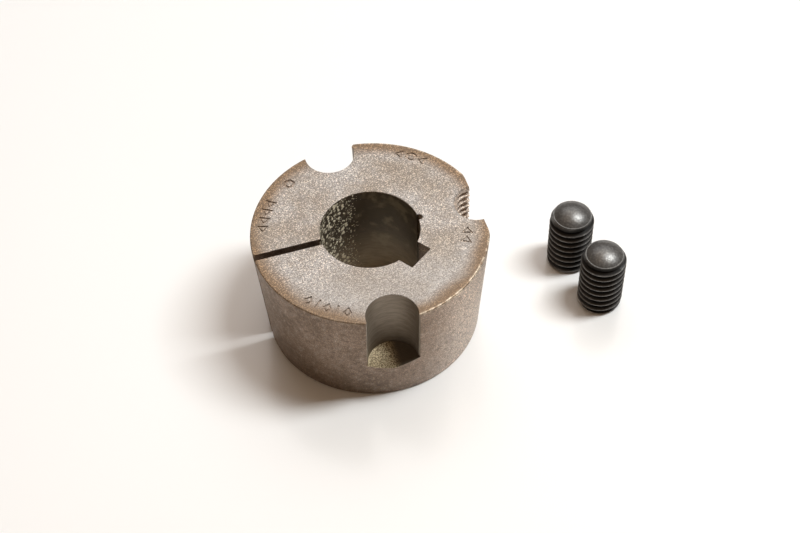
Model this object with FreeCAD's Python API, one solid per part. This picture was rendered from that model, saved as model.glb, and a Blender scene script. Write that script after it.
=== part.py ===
"""Split taper bush with its two set screws, in millimetres.

The bush is a cast iron taper sleeve that clamps a pulley or sprocket to a shaft. Two screws, turned into
half-holes shared by the bush and the hub, push it into the hub's taper, and the split lets it close on the
shaft. A screw moved to the tapped half-hole pushes it out again.

Frame: origin on the bore axis in the plane of the small end, which the bush stands on. +Z points up to the
large end. +X points from the axis to the tapped half-hole, and -X to the split.
"""

import FreeCAD, Part
import os
from FreeCAD import Base
from math import acos, atan2, cos, degrees, radians, sin, sqrt, tan

INCH = 25.4
ORIGIN = Base.Vector(0, 0, 0)
UP = Base.Vector(0, 0, 1)

# Taper sleeve
bush_length = 1.0 * INCH
large_end_radius = 1.875 * INCH / 2
taper_half_angle = 4.0
small_end_radius = large_end_radius - bush_length * tan(radians(taper_half_angle))
large_rim_round = 0.35
small_rim_chamfer = 0.4

# Shaft bore with its keyway, its split and the groove that makes the wall opposite the split flexible
bore_radius = 10.0
bore_mouth_chamfer = 0.2
key_width = 6.0
keyway_floor = bore_radius + 2.8
keyway_angle = -54.5
split_width = 1.5
split_offset = -0.27
flex_groove_width = 1.4
flex_groove_floor = 11.0

# Half-holes for the screws, on one circle around the bore axis
seat_circle_radius = 1.75 * INCH / 2
seat_angle = 95.6
seat_radius = 5.1
seat_depth = 14.9
seat_mouth_chamfer = 0.2
drill_point_angle = 148.0
seat_lip_bevel = 0.35
worn_lip_bevel = 0.8
tapped_flat = 22.3
flat_corner_radius = 6.0

# Screw thread, 3/8 inch with 16 turns to the inch
pitch = INCH / 16
thread_flank_angle = 30.0
screw_crest_radius = 4.65
screw_thread_depth = 0.61 * pitch
crest_flat = pitch / 8
tapped_crest_radius = 3.97
tapped_root_radius = 4.8
tapped_mouth_radius = 4.45

# Set screws, each standing on its socket end beside the bush
socket_across_flats = 3 / 16 * INCH
socket_depth = 5.2
socket_mouth_chamfer = 0.25
socket_floor_cone = 1.2
socket_end_radius = 3.9
socket_end_chamfer = 0.8
dome_ledge = 0.18
rear_screw = dict(x=43.9, y=0.15, length=15.58, shoulder=12.6, dome_base=14.0, dome_radius=3.8, turn=40)
front_screw = dict(x=46.0, y=-12.3, length=15.875, shoulder=13.05, dome_base=14.45, dome_radius=3.7, turn=205)

# Foundry marks, sunk into the large end: plain bars and the outlines of arrows, diamonds and a hexagon, each
# figure as (outward, around) corners
mark_depth = 0.25
mark_circle_radius = 21.3
figure_hollow = 0.5
bar = ((-1.25, -0.21), (1.25, -0.21), (1.25, 0.21), (-1.25, 0.21))
arrow = ((-1.25, -0.85), (1.25, -0.85), (0, 0.9))
diamond = ((-1.25, 0), (0, -0.9), (1.25, 0), (0, 0.9))
hexagon = tuple((1.3 * cos(radians(60 * i)), 1.3 * sin(radians(60 * i))) for i in range(6))
front_marks = ((-140.0, diamond), (-134.5, bar), (-129.0, diamond), (-123.5, bar), (-118.0, diamond))
split_marks = ((144.0, arrow), (150.0, arrow), (156.0, arrow), (162.0, arrow))
back_marks = ((43.5, arrow), (50.0, hexagon), (57.0, arrow))
hexagon_mark_angle = 126.0
hexagon_mark_radius = 20.7
bore_marks = ((-19.0, arrow), (-26.0, arrow))
bore_mark_radius = 19.3


def polar(radius, angle, height=0.0):
    return Base.Vector(radius * cos(radians(angle)), radius * sin(radians(angle)), height)


def turned(shape, angle, centre=ORIGIN):
    """The shape turned about a vertical axis through centre."""
    copy = shape.copy()
    copy.rotate(centre, UP, angle)
    return copy


def block(x_range, y_range, z_range):
    corner = Base.Vector(x_range[0], y_range[0], z_range[0])
    return Part.makeBox(x_range[1] - x_range[0], y_range[1] - y_range[0], z_range[1] - z_range[0], corner)


def revolved(points):
    """The solid swept by a closed outline of (radius, height) points about the Z axis."""
    corners = [Base.Vector(r, 0, z) for r, z in points]
    face = Part.Face(Part.makePolygon(corners + corners[:1]))
    return face.revolve(ORIGIN, UP, 360)


def helical_cutter(inner, outer, inner_width, outer_width, first, last):
    """A trapezoid of the given widths at two radii, swept along a right-hand helix between two heights."""
    helix = Part.makeHelix(pitch, last - first, inner)
    helix.translate(UP * first)
    corners = [
        Base.Vector(inner, 0, first - inner_width / 2),
        Base.Vector(outer, 0, first - outer_width / 2),
        Base.Vector(outer, 0, first + outer_width / 2),
        Base.Vector(inner, 0, first + inner_width / 2),
    ]
    sweep = Part.BRepOffsetAPI.MakePipeShell(Part.Wire(helix.Edges))
    sweep.setBiNormalMode(UP)
    sweep.add(Part.makePolygon(corners + corners[:1]))
    sweep.build()
    sweep.makeSolid()
    return sweep.shape()


def sleeve_blank():
    """The plain taper with its bore, sharp at both ends."""
    return revolved(
        [
            (bore_radius, 0),
            (small_end_radius, 0),
            (large_end_radius, bush_length),
            (bore_radius + bore_mouth_chamfer, bush_length),
            (bore_radius, bush_length - bore_mouth_chamfer),
        ]
    )


def rim_cutters():
    """Rings that round the rim of the large end and chamfer the rim of the small end."""
    slope = tan(radians(taper_half_angle))
    across = large_rim_round * (1 - 1 / sqrt(2)) + 0.02
    on_face = Base.Vector(large_end_radius - large_rim_round, 0, bush_length)
    on_side = Base.Vector(large_end_radius - large_rim_round * slope, 0, bush_length - large_rim_round)
    middle = Base.Vector(large_end_radius - across, 0, bush_length - across)
    outside = [
        on_side + Base.Vector(1, 0, 0),
        on_side + Base.Vector(1, 0, large_rim_round + 1),
        on_face + Base.Vector(0, 0, 1),
    ]
    edges = [Part.Arc(on_face, middle, on_side).toShape()]
    corners = [on_side] + outside + [on_face]
    edges += [Part.makeLine(start, end) for start, end in zip(corners, corners[1:])]
    large_rim = Part.Face(Part.Wire(edges)).revolve(ORIGIN, UP, 360)
    small_rim = revolved(
        [
            (small_end_radius - small_rim_chamfer, 0),
            (small_end_radius + small_rim_chamfer * slope, small_rim_chamfer),
            (small_end_radius + 1, small_rim_chamfer),
            (small_end_radius + 1, -1),
            (small_end_radius - small_rim_chamfer, -1),
        ]
    )
    return [turned(large_rim, 20), turned(small_rim, 20)]


def keyway():
    half = key_width / 2
    slot = block((0, keyway_floor), (-half, half), (-1, bush_length + 1))
    return turned(slot, keyway_angle)


def split():
    half = split_width / 2
    return block(
        (-large_end_radius - 1, -bore_radius / 2),
        (split_offset - half, split_offset + half),
        (-1, bush_length + 1),
    )


def flex_groove():
    half = flex_groove_width / 2
    slot = block((bore_radius - 1, flex_groove_floor - half), (-half, half), (-1, bush_length + 1))
    end = Part.makeCylinder(half, bush_length + 2, Base.Vector(flex_groove_floor - half, 0, -1))
    return slot.fuse(end)


def screw_seat(angle):
    """A plain drilled hole with the cone of the drill's point at its floor and a broken edge at its mouth."""
    floor = bush_length - seat_depth
    point = seat_radius / tan(radians(drill_point_angle / 2))
    drilled = revolved(
        [
            (0, floor - point),
            (seat_radius, floor),
            (seat_radius, bush_length - seat_mouth_chamfer),
            (seat_radius + seat_mouth_chamfer, bush_length),
            (seat_radius + seat_mouth_chamfer, bush_length + 1),
            (0, bush_length + 1),
        ]
    )
    drilled.translate(polar(seat_circle_radius, angle))
    return drilled


def tapped_mouth():
    """The countersink where the tapped half-hole meets the large end."""
    depth = tapped_mouth_radius - tapped_crest_radius + 0.2
    mouth = Part.makeCone(tapped_mouth_radius - depth, tapped_mouth_radius + 1, depth + 1)
    mouth.translate(polar(seat_circle_radius, 0, bush_length - depth))
    return mouth


def tap():
    """A rod with the tapped half-hole's thread, longer than the sleeve at both ends."""
    rise = tan(radians(thread_flank_angle))
    depth = tapped_root_radius - tapped_crest_radius
    clear = 0.1
    gap = pitch - crest_flat
    rod = Part.makeCylinder(tapped_root_radius, bush_length + 4 * pitch, Base.Vector(0, 0, -pitch / 2))
    groove = helical_cutter(
        tapped_crest_radius,
        tapped_root_radius + clear,
        gap - 2 * depth * rise,
        gap + 2 * clear * rise,
        -pitch,
        bush_length + 2 * pitch,
    )
    rod = rod.cut(groove)
    rod.translate(polar(seat_circle_radius, 0))
    return rod


def tapped_side_flat():
    """The flat on the outside of the sleeve that the tapped half-hole opens into, rounded into the taper."""
    inset = large_end_radius - tapped_flat
    half = sqrt(inset * (large_end_radius + tapped_flat - 2 * flat_corner_radius))
    centre_x = tapped_flat - flat_corner_radius
    sweep = degrees(atan2(half, centre_x))
    wide = large_end_radius + 2
    outline = []
    for side in (1, -1):
        centre = Base.Vector(centre_x, side * half, -1)
        start, middle, end = [centre + polar(flat_corner_radius, side * sweep * part) for part in (0, 0.5, 1)]
        outline.append(Part.Arc(start, middle, end).toShape())
        outline.append(Part.makeLine(end, Base.Vector(wide, side * wide, -1)))
    outline.append(Part.makeLine(Base.Vector(wide, wide, -1), Base.Vector(wide, -wide, -1)))
    outline.append(Part.makeLine(Base.Vector(tapped_flat, half, -1), Base.Vector(tapped_flat, -half, -1)))
    return Part.Face(Part.Wire(Part.__sortEdges__(outline))).extrude(UP * (bush_length + 2))


def seat_lip(angle, side, height):
    """The point where a plain half-hole's wall meets the taper, on its +1 or -1 side."""
    radius = small_end_radius + height * tan(radians(taper_half_angle))
    along = (radius**2 + seat_circle_radius**2 - seat_radius**2) / (2 * radius * seat_circle_radius)
    return polar(radius, angle + side * degrees(acos(along)), height)


def lip_bevel(angle, side, width):
    """A three-sided prism that takes the sharp lip off a plain half-hole."""
    low = seat_lip(angle, side, bush_length - seat_depth)
    high = seat_lip(angle, side, bush_length)
    run = (high - low) * 1.1
    outward = Base.Vector(low.x, low.y, 0).normalize()
    around = Base.Vector(-side * outward.y, side * outward.x, 0)
    to_seat = (polar(seat_circle_radius, angle, low.z) - low).normalize()
    into_wall = Base.Vector(to_seat.y, -to_seat.x, 0)
    if into_wall.dot(outward) > 0:
        into_wall = -into_wall
    corners = [low + around * width, low + into_wall * width, low + (outward - around) * width]
    return Part.Face(Part.makePolygon(corners + corners[:1])).extrude(run)


def lip_bevels():
    bevels = []
    for angle in (seat_angle, -seat_angle):
        for side in (1, -1):
            worn = angle > 0 > side
            bevels.append(lip_bevel(angle, side, worn_lip_bevel if worn else seat_lip_bevel))
    return bevels


def figure_prism(outline, radius, scale):
    floor = bush_length - mark_depth
    corners = [Base.Vector(radius + out * scale, around * scale, floor) for out, around in outline]
    return Part.Face(Part.makePolygon(corners + corners[:1])).extrude(UP * (mark_depth + 1))


def figure_mark(outline, angle, radius=mark_circle_radius):
    """A bar, sunk whole, or the outline of a figure, which leaves its middle standing."""
    mark = figure_prism(outline, radius, 1)
    if outline is not bar:
        mark = mark.cut(figure_prism(outline, radius, figure_hollow))
    return turned(mark, angle)


def foundry_marks():
    marks = [figure_mark(outline, angle) for angle, outline in front_marks + split_marks + back_marks]
    marks += [figure_mark(outline, angle, bore_mark_radius) for angle, outline in bore_marks]
    return marks + [figure_mark(hexagon, hexagon_mark_angle, hexagon_mark_radius)]


def taper_bush():
    body = sleeve_blank()
    body = body.cut([screw_seat(seat_angle), screw_seat(-seat_angle)])
    body = body.cut(lip_bevels()).cut(rim_cutters())
    body = body.cut([tapped_side_flat(), keyway(), split(), flex_groove(), tapped_mouth()])
    body = body.cut(foundry_marks())
    return body.cut(tap())


def screw_blank(length, shoulder, dome_base, dome_radius):
    """The screw's outer shape: a chamfered socket end, a straight shank, a bevel and a domed point."""
    dome_height = length - dome_base
    dome_curve = (dome_radius**2 + dome_height**2) / (2 * dome_height)
    half_way = dome_radius / 2
    middle_height = length - dome_curve + sqrt(dome_curve**2 - half_way**2)
    points = [
        Base.Vector(0, 0, length),
        Base.Vector(0, 0, 0),
        Base.Vector(socket_end_radius, 0, 0),
        Base.Vector(screw_crest_radius, 0, socket_end_chamfer),
        Base.Vector(screw_crest_radius, 0, shoulder),
        Base.Vector(dome_radius + dome_ledge, 0, dome_base),
        Base.Vector(dome_radius, 0, dome_base),
    ]
    edges = [Part.makeLine(start, end) for start, end in zip(points, points[1:])]
    edges.append(Part.Arc(points[-1], Base.Vector(half_way, 0, middle_height), points[0]).toShape())
    return Part.Face(Part.Wire(edges)).revolve(ORIGIN, UP, 360)


def hex_socket():
    """The hexagon for the key, with a countersunk mouth and a drilled floor."""
    corner_radius = socket_across_flats / sqrt(3)
    corners = [polar(corner_radius, 60 * i, -1) for i in range(6)]
    hexagon = Part.Face(Part.makePolygon(corners + corners[:1])).extrude(UP * (socket_depth + 1))
    inner = socket_across_flats / 2
    mouth = Part.makeCone(corner_radius + socket_mouth_chamfer, inner, 2 * socket_mouth_chamfer)
    floor = Part.makeCone(inner, 0, socket_floor_cone, Base.Vector(0, 0, socket_depth))
    return [hexagon, mouth, floor]


def screw_thread(shoulder):
    """The groove between the screw's thread crests, running out on the bevel under the dome."""
    rise = tan(radians(thread_flank_angle))
    root = screw_crest_radius - screw_thread_depth
    outer = screw_crest_radius + 0.1
    crest_gap = pitch - crest_flat
    root_width = crest_gap - 2 * screw_thread_depth * rise
    outer_width = crest_gap + 2 * (outer - screw_crest_radius) * rise
    return helical_cutter(root, outer, root_width, outer_width, -pitch, shoulder + pitch / 2)


def set_screw(x, y, length, shoulder, dome_base, dome_radius, turn):
    body = screw_blank(length, shoulder, dome_base, dome_radius)
    body = body.cut(screw_thread(shoulder))
    body = body.cut(hex_socket())
    body = turned(body, turn)
    body.translate(Base.Vector(x, y, 0))
    return body


os.makedirs("parts", exist_ok=True)
nodes = {
    "taper_bush": taper_bush(),
    "set_screw_rear": set_screw(**rear_screw),
    "set_screw_front": set_screw(**front_screw),
}
for name, shape in nodes.items():
    shape.exportStep(f"parts/{name}.step")
    print(name, "valid", shape.isValid(), "solids", len(shape.Solids), "volume", round(shape.Volume, 1))
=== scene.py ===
from math import acos, atan2, cos, pi, radians, sin, sqrt, tan

import bmesh
import bpy
from mathutils import Matrix, Vector


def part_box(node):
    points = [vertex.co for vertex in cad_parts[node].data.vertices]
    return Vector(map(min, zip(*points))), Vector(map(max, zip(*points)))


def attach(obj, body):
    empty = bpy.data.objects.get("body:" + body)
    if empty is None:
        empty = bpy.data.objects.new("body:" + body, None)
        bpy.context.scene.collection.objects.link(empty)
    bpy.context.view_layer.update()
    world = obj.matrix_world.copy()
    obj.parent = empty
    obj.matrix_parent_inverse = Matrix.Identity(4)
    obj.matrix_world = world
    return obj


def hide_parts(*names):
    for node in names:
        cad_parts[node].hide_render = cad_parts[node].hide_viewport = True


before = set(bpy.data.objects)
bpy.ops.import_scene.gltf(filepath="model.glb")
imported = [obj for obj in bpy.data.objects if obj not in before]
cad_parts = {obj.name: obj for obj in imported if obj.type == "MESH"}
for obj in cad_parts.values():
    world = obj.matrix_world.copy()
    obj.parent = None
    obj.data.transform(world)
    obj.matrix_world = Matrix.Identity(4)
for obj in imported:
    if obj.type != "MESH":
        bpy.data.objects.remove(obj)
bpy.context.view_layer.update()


# Studio: a plain near-white table under a large window of light, with a pale card behind, a wide warm
# ceiling light and a dim room around. The window stands on the side of the tapped half-hole, so that the
# split throws a thin bright line on the table.

table_size = 3.0
light_distance = 0.9
window = dict(bearing=-7.0, height=63.0, width=0.17, depth=0.44, watts=7.05, tint=(0.93, 0.975, 1.0))
back_card = dict(bearing=72.0, height=50.0, width=0.85, depth=0.6, watts=2.1, tint=(0.90, 0.95, 1.0))
ceiling = dict(bearing=60.0, height=80.0, width=1.1, depth=1.1, watts=1.95, tint=(1.0, 0.72, 0.5))
room_glow = (0.12, 0.085, 0.058)
paper_white = (0.93, 0.922, 0.905)
paper_roughness = 0.2
paper_index = 1.65

camera_place = Vector((-0.04886, -0.1903, 0.24999))
camera_bearing = -16.08
camera_tilt = 39.70
camera_roll = -1.558
camera_lens = 67.72
camera_film_width = 36.0

bpy.context.scene.view_settings.view_transform = "Standard"

camera = bpy.data.objects.new("camera", bpy.data.cameras.new("camera"))
camera.data.lens = camera_lens
camera.data.sensor_width = camera_film_width
camera.data.clip_start = 0.01
camera.matrix_world = (
    Matrix.Translation(camera_place)
    @ Matrix.Rotation(radians(camera_bearing), 4, "Z")
    @ Matrix.Rotation(radians(camera_tilt), 4, "X")
    @ Matrix.Rotation(radians(camera_roll), 4, "Z")
)
bpy.context.scene.collection.objects.link(camera)
bpy.context.scene.camera = camera


def hang_light(name, bearing, height, width, depth, watts, tint):
    """A flat rectangular light that faces the bush from that bearing and height."""
    light = bpy.data.objects.new(name, bpy.data.lights.new(name, "AREA"))
    light.data.energy = watts
    light.data.shape = "RECTANGLE"
    light.data.size = width
    light.data.size_y = depth
    light.data.color = tint
    level = cos(radians(height))
    way = Vector((level * cos(radians(bearing)), level * sin(radians(bearing)), sin(radians(height))))
    light.location = way * light_distance
    light.rotation_euler = way.to_track_quat("Z", "Y").to_euler()
    bpy.context.scene.collection.objects.link(light)


hang_light("window_light", **window)
hang_light("back_card", **back_card)
hang_light("ceiling_light", **ceiling)

room = bpy.data.worlds.new("pale_room")
room.use_nodes = True
room.node_tree.nodes["Background"].inputs["Color"].default_value = (*room_glow, 1.0)
bpy.context.scene.world = room

paper = bpy.data.materials.new("white_paper")
paper.use_nodes = True
paper_surface = paper.node_tree.nodes["Principled BSDF"].inputs
paper_surface["Base Color"].default_value = (*paper_white, 1.0)
paper_surface["Roughness"].default_value = paper_roughness
paper_surface["IOR"].default_value = paper_index

table_mesh = bpy.data.meshes.new("table_top")
table_shape = bmesh.new()
bmesh.ops.create_grid(table_shape, x_segments=1, y_segments=1, size=table_size / 2)
table_shape.to_mesh(table_mesh)
table_shape.free()
table_mesh.materials.append(paper)
table = bpy.data.objects.new("table_top", table_mesh)
bpy.context.scene.collection.objects.link(table)


# Taper bush: one iron casting, machined all over and phosphated. A long cone with a bore, split down one
# side, with two plain half-holes and one tapped half-hole drilled into its rim from the large end. It is
# turned from one outline with its rims already rounded, and the holes, slots and marks are cut out of it.

bush_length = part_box("taper_bush")[1].z
large_end_radius = 0.0238125
half_taper = radians(4.0)
small_end_radius = large_end_radius - bush_length * tan(half_taper)
bore_radius = 0.010
key_half_width = 0.003
keyway_floor = 0.0128
keyway_angle = -54.5
split_half_width = 0.00075
split_offset = -0.00027
flex_half_width = 0.0007
flex_groove_floor = 0.011
hole_circle = 0.022225
seat_radius = 0.0051
seat_depth = 0.0149
seat_angles = (95.6, -95.6)
drill_point_half_angle = radians(74.0)
tapped_flat = 0.0223
flat_corner_radius = 0.006
pitch = 0.0015875
tapped_crest_radius = 0.00397
tapped_root_radius = 0.0048
mark_depth = 0.00025
mark_circle = 0.0213
bore_mark_circle = 0.0193
hexagon_mark_circle = 0.0207
figure_hollow = 0.5
large_rim_round = 0.0003
small_rim_round = 0.0004
mouth_round = 0.0001
lip_bevel = 0.00035
worn_lip_bevel = 0.0008
countersink_depth = 0.0011
countersink_point = 0.0015
countersink_floor_radius = 0.0035
countersink_mouth_radius = 0.0057
overrun = 0.001
through = (-overrun, bush_length + overrun)
far_out = 0.03
bush_corner_angle = 50
bush_steps = 288
round_steps = 96


def turned_solid(name, outline, steps, rounded=()):
    """A closed solid spun from (radius, height) points, with a rounding for each corner in turn."""
    shape = bmesh.new()
    corners = [shape.verts.new((radius, 0.0, height)) for radius, height in outline]
    for start, end in zip(corners, corners[1:] + corners[:1]):
        if start.co.x > 0 or end.co.x > 0:
            shape.edges.new((start, end))
    for corner, size in zip(corners, rounded):
        bmesh.ops.bevel(shape, geom=[corner], offset=size, offset_type="OFFSET", segments=4, profile=0.5,
                        affect="VERTICES", material=-1)
    bmesh.ops.spin(shape, geom=shape.verts[:] + shape.edges[:], cent=(0, 0, 0), axis=(0, 0, 1), angle=2 * pi,
                   steps=steps, use_merge=True, use_duplicate=False)
    bmesh.ops.remove_doubles(shape, verts=shape.verts, dist=1e-7)
    bmesh.ops.recalc_face_normals(shape, faces=shape.faces)
    return finished(name, shape)


def finished(name, shape):
    """Turns a bmesh into a piece in the scene."""
    mesh = bpy.data.meshes.new(name)
    shape.to_mesh(mesh)
    shape.free()
    piece = bpy.data.objects.new(name, mesh)
    bpy.context.scene.collection.objects.link(piece)
    return piece


def prism(name, outline, z_range, turn=0.0):
    """An upright solid on a closed outline of (x, y) points, turned about the bore's axis."""
    shape = bmesh.new()
    base = shape.faces.new([shape.verts.new((x, y, z_range[0])) for x, y in outline])
    run = bmesh.ops.extrude_face_region(shape, geom=[base])
    top = [item for item in run["geom"] if isinstance(item, bmesh.types.BMVert)]
    bmesh.ops.translate(shape, vec=(0, 0, z_range[1] - z_range[0]), verts=top)
    bmesh.ops.rotate(shape, cent=(0, 0, 0), matrix=Matrix.Rotation(radians(turn), 3, "Z"), verts=shape.verts)
    bmesh.ops.recalc_face_normals(shape, faces=shape.faces)
    return finished(name, shape)


def slab(name, x_range, y_range, turn=0.0):
    """A box between those limits that runs right through the bush."""
    (left, right), (near, far) = x_range, y_range
    outline = [(left, near), (right, near), (right, far), (left, far)]
    return prism(name, outline, through, turn)


def moved(piece, radius, angle):
    """Moves a piece's mesh out from the bore's axis."""
    place = Vector((radius * cos(radians(angle)), radius * sin(radians(angle)), 0.0))
    piece.data.transform(Matrix.Translation(place))
    return piece


def threaded_rod(name, crest_radius, root_radius, low, high, crest_flat, root_flat, steps):
    """A rod with a right-hand thread, spun from one turn of its outline, with flat ends."""
    shape = bmesh.new()
    flank = (pitch - crest_flat - root_flat) / 2
    crest_start = root_flat + flank
    droop = crest_flat * 0.3
    flank_slope = 0.58
    outline = (
        (root_radius, 0.0),
        (root_radius, root_flat),
        (crest_radius - droop, crest_start - droop * flank_slope),
        (crest_radius, crest_start + crest_flat * 0.2),
        (crest_radius, crest_start + crest_flat * 0.8),
        (crest_radius - droop, crest_start + crest_flat + droop * flank_slope),
        (root_radius, pitch),
    )
    chain = [shape.verts.new((radius, 0.0, low - pitch + height)) for radius, height in outline]
    edges = [shape.edges.new(pair) for pair in zip(chain, chain[1:])]
    turns = int((high - low) / pitch) + 3
    bmesh.ops.spin(shape, geom=chain + edges, cent=(0, 0, 0), axis=(0, 0, 1), dvec=(0, 0, pitch / steps),
                   angle=2 * pi * turns, steps=steps * turns, use_merge=False, use_duplicate=False)
    bmesh.ops.remove_doubles(shape, verts=shape.verts, dist=1e-6)
    for height, way in ((low, -1), (high, 1)):
        bmesh.ops.bisect_plane(shape, geom=shape.verts[:] + shape.edges[:] + shape.faces[:], dist=1e-8,
                               plane_co=(0, 0, height), plane_no=(0, 0, way), clear_outer=True)
    rims = [edge for edge in shape.edges if edge.is_boundary]
    bmesh.ops.holes_fill(shape, edges=rims, sides=0)
    bmesh.ops.recalc_face_normals(shape, faces=shape.faces)
    return finished(name, shape)


def cut_away(piece, others, operation="DIFFERENCE"):
    """Takes the others out of the piece, adds them to it or keeps only what they share, and removes them."""
    for other in others:
        change = piece.modifiers.new("cut", "BOOLEAN")
        change.operation = operation
        change.solver = "EXACT"
        change.object = other
    bpy.context.view_layer.update()
    shaped = piece.evaluated_get(bpy.context.evaluated_depsgraph_get())
    mesh = bpy.data.meshes.new_from_object(shaped)
    piece.modifiers.clear()
    piece.data = mesh
    for other in others:
        bpy.data.objects.remove(other)
    without_slivers(mesh)


def without_slivers(mesh):
    """Merges the tiny edges and faces that a cut can leave, so that the skin stays closed."""
    shape = bmesh.new()
    shape.from_mesh(mesh)
    bmesh.ops.remove_doubles(shape, verts=shape.verts, dist=1e-7)
    bmesh.ops.dissolve_degenerate(shape, edges=shape.edges, dist=1e-7)
    shape.to_mesh(mesh)
    shape.free()


def shade(piece, sharp_angle):
    """Shades curved faces smooth and level ones flat."""
    piece.data.shade_smooth()
    piece.data.set_sharp_from_angle(angle=radians(sharp_angle))
    for polygon in piece.data.polygons:
        polygon.use_smooth = abs(polygon.normal.z) < 0.999


def seat_cutter(angle):
    """A drill with its pointed tip, flared where it leaves the large end so that the mouth is rounded."""
    floor = bush_length - seat_depth
    tip = floor - seat_radius / tan(drill_point_half_angle)
    above = bush_length + 2 * overrun
    turns = [radians(turn) for turn in (0, 22.5, 45, 67.5, 90)]
    flare = [
        (seat_radius + mouth_round * (1 - cos(turn)), bush_length - mouth_round * (1 - sin(turn)))
        for turn in turns
    ]
    wide = seat_radius + mouth_round
    outline = [(0, tip), (seat_radius, floor)] + flare + [(wide, above), (0, above)]
    return moved(turned_solid("drill", outline, round_steps), hole_circle, angle)


def lip(angle, side, height):
    """Where a plain half-hole's wall meets the cone, on its +1 or -1 side."""
    radius = small_end_radius + height * tan(half_taper)
    opening = acos((radius**2 + hole_circle**2 - seat_radius**2) / (2 * radius * hole_circle))
    bearing = radians(angle) + side * opening
    return Vector((radius * cos(bearing), radius * sin(bearing), height))


def lip_cutter(angle, side, width):
    """A three-sided prism along the lip of a plain half-hole, to take its sharpness off."""
    low = lip(angle, side, bush_length - seat_depth)
    high = lip(angle, side, bush_length)
    outward = Vector((low.x, low.y, 0.0)).normalized()
    around = Vector((-side * outward.y, side * outward.x, 0.0))
    hole = Vector((hole_circle * cos(radians(angle)), hole_circle * sin(radians(angle)), low.z))
    to_hole = (hole - low).normalized()
    along_wall = Vector((to_hole.y, -to_hole.x, 0.0))
    if along_wall.dot(outward) > 0:
        along_wall.negate()
    shape = bmesh.new()
    corners = [low + around * width, low + along_wall * width, low + (outward - around) * width]
    base = shape.faces.new([shape.verts.new(corner) for corner in corners])
    run = bmesh.ops.extrude_face_region(shape, geom=[base])
    top = [item for item in run["geom"] if isinstance(item, bmesh.types.BMVert)]
    bmesh.ops.translate(shape, vec=(high - low) * 1.1, verts=top)
    bmesh.ops.recalc_face_normals(shape, faces=shape.faces)
    return finished("lip_cutter", shape)


def flex_groove_cutter():
    """The narrow groove with a round floor that makes the wall opposite the split bend more easily."""
    centre = flex_groove_floor - flex_half_width
    turns = [pi * step / 8 - pi / 2 for step in range(9)]
    end = [(centre + flex_half_width * cos(turn), flex_half_width * sin(turn)) for turn in turns]
    start = bore_radius - overrun
    outline = [(start, -flex_half_width)] + end + [(start, flex_half_width)]
    return prism("flex_groove", outline, through)


def side_flat_cutter():
    """The flat that the tapped half-hole opens into, with its corners rounded into the cone."""
    inset = large_end_radius - tapped_flat
    half = sqrt(inset * (large_end_radius + tapped_flat - 2 * flat_corner_radius))
    centre = tapped_flat - flat_corner_radius
    sweep = atan2(half, centre)
    turns = [sweep * step / 10 for step in range(10, -1, -1)]
    corner = [
        (centre + flat_corner_radius * cos(turn), half + flat_corner_radius * sin(turn))
        for turn in turns
    ]
    mirrored = [(x, -y) for x, y in reversed(corner)]
    return prism("side_flat", [(far_out, far_out)] + corner + mirrored + [(far_out, -far_out)], through)


def stamps():
    """Plain bars, arrows, diamonds and a hexagon, to be sunk into the large end.

    Each figure is given as (out, around) corners in millimetres, and each place as degrees about the bore.
    """
    bar = ((-1.25, -0.21), (1.25, -0.21), (1.25, 0.21), (-1.25, 0.21))
    arrow = ((-1.25, -0.85), (1.25, -0.85), (0, 0.9))
    diamond = ((-1.25, 0), (0, -0.9), (1.25, 0), (0, 0.9))
    hexagon = [(1.3 * cos(radians(60 * side)), 1.3 * sin(radians(60 * side))) for side in range(6)]
    rim_row = (
        (-140.0, diamond), (-134.5, bar), (-129.0, diamond), (-123.5, bar), (-118.0, diamond),
        (144.0, arrow), (150.0, arrow), (156.0, arrow), (162.0, arrow),
        (43.5, arrow), (50.0, hexagon), (57.0, arrow),
    )
    bore_row = ((-19.0, arrow), (-26.0, arrow))
    band = (bush_length - mark_depth, bush_length + overrun)
    made = []

    def sunk(outline, angle, circle):
        def solid(scale):
            points = [(circle + out * scale / 1000, around * scale / 1000) for out, around in outline]
            return prism("stamp", points, band, angle)

        mark = solid(1.0)
        if outline is not bar:
            cut_away(mark, [solid(figure_hollow)])
        made.append(mark)

    for angle, outline in rim_row:
        sunk(outline, angle, mark_circle)
    for angle, outline in bore_row:
        sunk(outline, angle, bore_mark_circle)
    sunk(hexagon, 126.0, hexagon_mark_circle)
    return made


bush = turned_solid(
    "bush_casting",
    [
        (bore_radius, 0.0),
        (small_end_radius, 0.0),
        (large_end_radius, bush_length),
        (bore_radius, bush_length),
    ],
    bush_steps,
    (mouth_round, small_rim_round, large_rim_round, mouth_round),
)
countersink = turned_solid(
    "countersink",
    [
        (0, bush_length - countersink_point),
        (countersink_floor_radius, bush_length - countersink_depth),
        (countersink_mouth_radius, bush_length + countersink_depth),
        (0, bush_length + countersink_point),
    ],
    round_steps,
)
tap = threaded_rod("tap", tapped_root_radius, tapped_crest_radius, *through,
                   crest_flat=pitch * 0.12, root_flat=pitch * 0.2, steps=64)
cut_away(bush, [
    seat_cutter(seat_angles[0]),
    seat_cutter(seat_angles[1]),
    side_flat_cutter(),
    slab("keyway", (0, keyway_floor), (-key_half_width, key_half_width), keyway_angle),
    slab("split", (-far_out, -bore_radius / 2),
         (split_offset - split_half_width, split_offset + split_half_width)),
    flex_groove_cutter(),
    moved(countersink, hole_circle, 0.0),
    moved(tap, hole_circle, 0.0),
    lip_cutter(seat_angles[0], 1, lip_bevel),
    lip_cutter(seat_angles[0], -1, worn_lip_bevel),
    lip_cutter(seat_angles[1], 1, lip_bevel),
    lip_cutter(seat_angles[1], -1, lip_bevel),
])
cut_away(bush, stamps())
shade(bush, bush_corner_angle)
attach(bush, "bush")
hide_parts("taper_bush")


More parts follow.
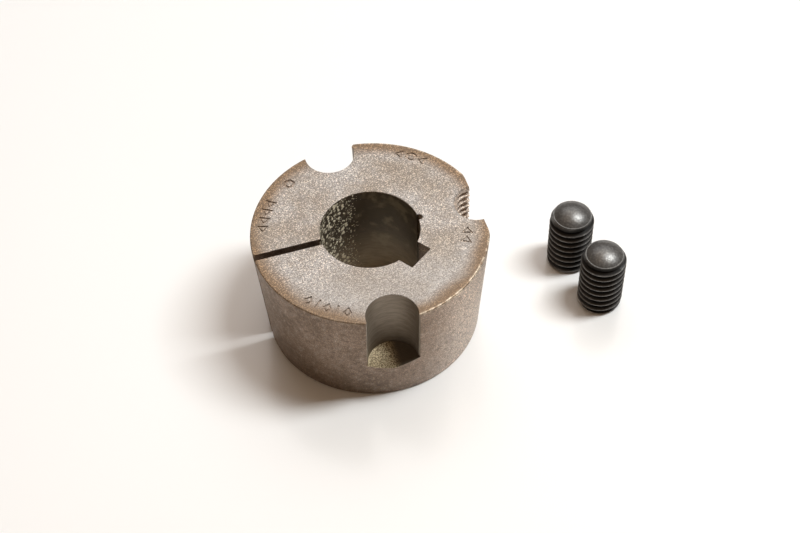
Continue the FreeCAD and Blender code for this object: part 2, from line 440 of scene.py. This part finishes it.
def empty_material(name):
    """A material with nothing in its tree yet."""
    material = bpy.data.materials.new(name)
    material.use_nodes = True
    material.node_tree.nodes.clear()
    return material


def nodes_of(material):
    """Short ways to add a node to one material's tree and to blend two colours in it."""
    tree = material.node_tree

    def add(kind, inputs=(), **settings):
        node = tree.nodes.new("ShaderNode" + kind)
        for name, value in settings.items():
            setattr(node, name, value)
        for socket, value in dict(inputs).items():
            if isinstance(value, bpy.types.NodeSocket):
                tree.links.new(value, node.inputs[socket])
            else:
                node.inputs[socket].default_value = value
        return node

    def blended(factor, under, over):
        """The first colour where the factor is 0 and the second where it is 1."""
        under, over = (
            colour if isinstance(colour, bpy.types.NodeSocket) else (*colour, 1.0)
            for colour in (under, over)
        )
        return add("Mix", {"Factor": factor, 6: under, 7: over}, data_type="RGBA").outputs[2]

    return add, blended


def coat(piece, material):
    """Gives the whole piece one material."""
    piece.data.materials.clear()
    piece.data.materials.append(material)
    for polygon in piece.data.polygons:
        polygon.material_index = 0


def phosphated_iron():
    """Warm grey iron with a brown film near its rim, fine grains painted bright as glints, and a dark oiled
    bore with crumbs painted bright as glints; painted light and shade lie on its cone, rim and half-hole
    floors.
    """
    iron = empty_material("phosphated_iron")
    add, blended = nodes_of(iron)
    place = add("TexCoord").outputs["Object"]
    apart = add("SeparateXYZ", {0: place})
    flat_place = add("VectorMath", {0: place, 1: (1.0, 1.0, 0.0)}, operation="MULTIPLY").outputs[0]
    from_axis = add("VectorMath", {0: flat_place}, operation="LENGTH").outputs["Value"]

    def between(value, low, high):
        """Rises smoothly from 0 to 1 as the value goes from low to high."""
        span = add("MapRange", {"Value": value, "From Min": low, "From Max": high},
                   interpolation_type="SMOOTHSTEP")
        return span.outputs["Result"]

    def noise(scale, detail=3.0, rough=0.55):
        clouds = add("TexNoise", {"Vector": place, "Scale": scale, "Detail": detail, "Roughness": rough})
        return clouds.outputs["Fac"]

    def maths(operation, a, b):
        return add("Math", {0: a, 1: b}, operation=operation).outputs[0]

    def times(a, b):
        return maths("MULTIPLY", a, b)

    def plus(a, b):
        return maths("ADD", a, b)

    def less(a, b):
        return maths("SUBTRACT", a, b)

    x, y, z = (apart.outputs[axis] for axis in "XYZ")
    on_top = between(z, bush_length - 0.0004, bush_length - 0.0001)
    below_top = less(1.0, on_top)
    blotches = noise(110.0, 4.0)
    mottle = noise(900.0, 3.0)
    grain = noise(4200.0, 1.0, 0.6)

    # The cone: brown and tan blotches, with painted light making it lighter towards the tapped half-hole, on
    # the side the window lights, and painted shade making it a little darker at its foot.
    side_colour = blended(between(blotches, 0.35, 0.66), (0.19, 0.13, 0.088), (0.295, 0.215, 0.16))
    # Painted light: the side of the cone that faces the window is made lighter.
    painted_light_side = between(x, 0.002, 0.018)
    side_colour = blended(times(painted_light_side, 0.8), side_colour, (0.47, 0.395, 0.335))
    side_colour = blended(times(between(mottle, 0.5, 0.7), 0.6), side_colour, (0.37, 0.30, 0.24))
    side_colour = blended(times(between(mottle, 0.48, 0.32), 0.5), side_colour, (0.11, 0.075, 0.052))
    # Painted shade: the cone darkened low down on the side away from the window, where the table meets it.
    painted_foot_shade = times(between(z, 0.013, 0.0), between(x, 0.012, -0.006))
    side_colour = blended(times(painted_foot_shade, 0.12), side_colour, (0.07, 0.048, 0.033))

    # The large end: greyer, cleanest at the front, with the brown film around its rim.
    top_colour = blended(between(blotches, 0.3, 0.7), (0.29, 0.245, 0.20), (0.41, 0.385, 0.365))
    top_colour = blended(times(between(mottle, 0.45, 0.7), 0.35), top_colour, (0.25, 0.205, 0.165))
    toward_front = between(y, -0.004, -0.017)
    top_colour = blended(times(toward_front, 0.45), top_colour, (0.45, 0.425, 0.40))
    rim_edge = plus(from_axis, times(blotches, 0.005))
    top_colour = blended(times(between(rim_edge, 0.0222, 0.0258), 0.9), top_colour, (0.205, 0.13, 0.07))
    colour = blended(on_top, side_colour, top_colour)

    # The rim itself: a bright edge that is partly wear and partly a painted highlight, strongest on the side
    # of the tapped half-hole, where the window lights it.
    near_edge = between(z, bush_length - 0.0009, bush_length - 0.0002)
    outermost = between(from_axis, large_end_radius - 0.0006, large_end_radius - 0.0002)
    rim_wear_and_highlight = times(times(near_edge, outermost), between(mottle, 0.4, 0.6))
    # The painted highlight's share grows towards the side that the window lights.
    rubbed = plus(0.15, times(between(x, -0.004, 0.01), 0.6))
    colour = blended(times(rim_wear_and_highlight, rubbed), colour, (0.62, 0.52, 0.40))

    # Painted glints: grains lifted bright as light catching the iron, most of all on the side the window
    # lights and fewest at the front of the large end, and grains of dark film all over.
    top_sparkle = less(1.0, times(toward_front, 0.6))
    side_sparkle = plus(0.45, times(painted_light_side, 0.95))
    painted_glint_mask = times(between(grain, 0.52, 0.7), blended(on_top, side_sparkle, top_sparkle))
    glint_colour = add("VectorMath", {0: colour, 1: (2.5, 2.42, 2.3)}, operation="MULTIPLY").outputs[0]
    colour = blended(painted_glint_mask, colour, glint_colour)
    dull = times(between(grain, 0.48, 0.33), 0.45)
    colour = blended(dull, colour, (0.12, 0.085, 0.06))

    # The plain half-holes: drilled walls with faint tool lines, and a floor painted dark as shadow, with a
    # painted pool of light on its grains on the split's side.
    seat_from = [
        add("VectorMath", {0: flat_place, 1: (hole_circle * cos(turn), hole_circle * sin(turn), 0)},
            operation="DISTANCE").outputs["Value"]
        for turn in map(radians, seat_angles)
    ]
    near_seat = maths("MINIMUM", seat_from[0], seat_from[1])
    floor_slope = 1 / tan(drill_point_half_angle)
    above_floor = less(z, times(near_seat, floor_slope))
    lowest = bush_length - seat_depth - seat_radius * floor_slope
    in_seat = times(between(near_seat, seat_radius + 0.0003, seat_radius + 0.0001), below_top)
    in_seat = times(in_seat, between(above_floor, lowest - 0.0002, lowest - 0.0001))
    stretched = add("VectorMath", {0: place, 1: (1.0, 1.0, 7.0)}, operation="MULTIPLY").outputs[0]
    tool_lines = add("TexNoise", {"Vector": stretched, "Scale": 420.0, "Detail": 4.0}).outputs["Fac"]
    seat_colour = blended(between(tool_lines, 0.35, 0.65), (0.225, 0.185, 0.14), (0.29, 0.24, 0.185))
    floor_part = between(z, bush_length - seat_depth + 0.0004, bush_length - seat_depth - 0.0001)
    # Painted light: the grainy floor where the window reaches it, on the split's side.
    lit_floor_grains = blended(between(grain, 0.42, 0.6), (0.20, 0.15, 0.085), (0.60, 0.50, 0.32))
    painted_lit_floor = times(floor_part, between(x, -0.0002, -0.0024))
    # Painted shadow: the rest of the floor, which the wall shades.
    seat_colour = blended(floor_part, seat_colour, (0.10, 0.08, 0.058))
    colour = blended(in_seat, colour, blended(painted_lit_floor, seat_colour, lit_floor_grains))

    # The bore: dark and oiled, smeared, with crumbs of metal on the split's side painted bright as glints,
    # where the window lights the wall.
    in_bore = less(1.0, between(from_axis, bore_radius + 0.0001, bore_radius + 0.0006))
    in_bore = times(in_bore, below_top)
    bore_colour = blended(between(z, 0.0, 0.017), (0.46, 0.37, 0.26), (0.12, 0.095, 0.066))
    lines = times(between(tool_lines, 0.6, 0.35), 0.3)
    bore_colour = blended(lines, bore_colour, (0.09, 0.07, 0.048))
    smears = times(between(noise(280.0, 3.0), 0.5, 0.68), 0.55)
    bore_colour = blended(smears, bore_colour, (0.36, 0.30, 0.21))
    # Painted glints: the crumbs are kept to the wall that the window lights.
    glint_lit_wall = between(x, 0.0035, -0.0035)

    def crumbs(scale, share, size):
        """Round crumbs in that share of the cells, painted bright as glints and shrinking away from the wall
        the window lights, towards the smooth, shaded part of the bore.
        """
        cells = add("TexVoronoi", {"Vector": place, "Scale": scale})
        chance = add("SeparateColor", {0: cells.outputs["Color"]}).outputs
        radius = times(times(plus(0.35, chance[1]), size), glint_lit_wall)
        inside = less(radius, cells.outputs["Distance"])
        return times(maths("LESS_THAN", chance[0], share), between(inside, 0.0, 0.14))

    grit_and_glints = maths("MAXIMUM", crumbs(1150.0, 0.7, 0.46), crumbs(2400.0, 0.55, 0.48))
    bore_colour = blended(grit_and_glints, bore_colour, (1.0, 0.90, 0.68))
    colour = blended(in_bore, colour, bore_colour)

    bore_grit = times(grit_and_glints, in_bore)
    height = plus(times(grain, 0.00004), times(mottle, 0.00005))
    bump = add("Bump", {"Height": plus(height, times(bore_grit, 0.0003)), "Strength": 0.9, "Distance": 1.0})
    shader = add("BsdfPrincipled", {
        "Base Color": colour,
        "Metallic": times(0.55, less(1.0, bore_grit)),
        "Roughness": less(plus(0.36, times(blotches, 0.2)), times(bore_grit, 0.25)),
        "Normal": bump.outputs["Normal"],
    })
    add("OutputMaterial", {"Surface": shader.outputs[0]})
    return iron


coat(bush, phosphated_iron())


# Set screws: two black steel grub screws standing on their socket ends, domed points up. Each is a threaded
# rod turned down to a bevel and a dome at its point and a chamfer at its foot, with a hexagon broached in.

screw_crest_radius = 0.00465
screw_root_radius = screw_crest_radius - 0.61 * pitch
socket_across_flats = 0.0047625
socket_depth = 0.0052
foot_radius = 0.0039
foot_chamfer = 0.0008
dome_lip = 0.00018
dome_steps = 14
crest_clearance = 0.00001
core_overlap = 0.0001
core_overhang = 0.0002
run_out_start = 0.0006
run_out_end = 0.0014
screw_corner_angle = 28


def black_oxide():
    """Blue-black oxide over steel, satin, with painted shade darkening the thread's grooves, and rubbed
    lighter on its crests.
    """
    oxide = empty_material("black_oxide")
    add, blended = nodes_of(oxide)
    place = add("TexCoord").outputs["Object"]
    grain = add("TexNoise", {"Vector": place, "Scale": 2200.0, "Detail": 3.0}).outputs["Fac"]
    patches = add("TexNoise", {"Vector": place, "Scale": 350.0, "Detail": 3.0}).outputs["Fac"]
    crest = add("Attribute", attribute_name="crest").outputs["Fac"]
    flank = add("MapRange", {"Value": crest, "From Min": 0.2, "From Max": 1.0}).outputs["Result"]
    rubbed = add("MapRange", {"Value": crest, "From Min": 0.75, "From Max": 1.0}).outputs["Result"]
    glints = add("MapRange", {"Value": grain, "From Min": 0.42, "From Max": 0.64}).outputs["Result"]

    shank = blended(patches, (0.034, 0.033, 0.032), (0.08, 0.076, 0.072))
    # Painted shade: the thread's grooves darkened almost to black, where shade falls between the crests.
    shank = blended(flank, (0.008, 0.008, 0.008), shank)
    shank = blended(rubbed, shank, blended(glints, (0.175, 0.17, 0.163), (0.265, 0.257, 0.244)))
    polish = add("MapRange", {"Value": patches, "To Min": 0.34, "To Max": 0.46}).outputs["Result"]
    bump = add("Bump", {"Height": grain, "Strength": 0.6, "Distance": 0.00005})
    shader = add("BsdfPrincipled", {
        "Base Color": shank,
        "Metallic": 0.75,
        "Roughness": polish,
        "Normal": bump.outputs["Normal"],
    })
    add("OutputMaterial", {"Surface": shader.outputs[0]})
    return oxide


oxide_finish = black_oxide()


def outer_shape(length, shoulder, dome_base, dome_radius):
    """What the screw is turned down to: a chamfered foot, a straight shank, a bevel and a dome."""
    dome_height = length - dome_base
    dome_curve = (dome_radius**2 + dome_height**2) / (2 * dome_height)
    dome_centre = length - dome_curve
    widest = acos((dome_base - dome_centre) / dome_curve)
    turns = [widest * step / dome_steps for step in range(dome_steps, 0, -1)]
    dome = [(dome_curve * sin(turn), dome_centre + dome_curve * cos(turn)) for turn in turns]
    return turned_solid(
        "outer_shape",
        [
            (0, 0),
            (foot_radius, 0),
            (screw_crest_radius + crest_clearance, foot_chamfer),
            (screw_crest_radius + crest_clearance, shoulder),
            (dome_radius + dome_lip, dome_base),
        ] + dome + [(0, length)],
        round_steps,
    )


def thread_core(length, shoulder):
    """The plain rod inside the thread, widening where the thread runs out under the dome."""
    inner = screw_root_radius + core_overlap
    outer = screw_crest_radius + core_overhang
    outline = [
        (0, -overrun / 2),
        (inner, -overrun / 2),
        (inner, shoulder + run_out_start),
        (outer, shoulder + run_out_end),
        (outer, length + overrun),
        (0, length + overrun),
    ]
    return turned_solid("core", outline, round_steps)


def broach():
    """The six-sided tool that makes the socket."""
    shape = bmesh.new()
    bmesh.ops.create_cone(shape, cap_ends=True, segments=6, radius1=socket_across_flats / sqrt(3),
                          radius2=socket_across_flats / sqrt(3), depth=socket_depth * 2)
    return finished("broach", shape)


def mark_crests(rod, dome_base):
    """Stores how far each point stands out of the thread's groove, for the oxide to read."""
    dome_value = 0.92
    dome_margin = 0.0002
    crest = rod.data.attributes.new("crest", "FLOAT", "POINT")
    for vertex, value in zip(rod.data.vertices, crest.data):
        across = Vector((vertex.co.x, vertex.co.y)).length - screw_root_radius
        share = max(0.0, min(1.0, across / (screw_crest_radius - screw_root_radius)))
        value.value = dome_value if vertex.co.z > dome_base - dome_margin else share


def set_screw(name, node, body, shoulder, dome_base, dome_radius, turn):
    """One screw, standing where its CAD twin stands."""
    low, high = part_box(node)
    middle = (low + high) / 2
    length = high.z
    rod = threaded_rod(name, screw_crest_radius, screw_root_radius, -overrun, shoulder + pitch * 0.9,
                       crest_flat=pitch * 0.14, root_flat=pitch * 0.18, steps=72)
    cut_away(rod, [thread_core(length, shoulder)], "UNION")
    cut_away(rod, [outer_shape(length, shoulder, dome_base, dome_radius)], "INTERSECT")
    cut_away(rod, [broach()])
    shade(rod, screw_corner_angle)
    mark_crests(rod, dome_base)
    rod.data.transform(
        Matrix.Translation((middle.x, middle.y, 0.0)) @ Matrix.Rotation(radians(turn), 4, "Z")
    )
    coat(rod, oxide_finish)
    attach(rod, body)
    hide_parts(node)


set_screw("rear_grub_screw", "set_screw_rear", "rear_screw",
          shoulder=0.0126, dome_base=0.0140, dome_radius=0.0038, turn=40.0)
set_screw("front_grub_screw", "set_screw_front", "front_screw",
          shoulder=0.01305, dome_base=0.01445, dome_radius=0.0037, turn=205.0)
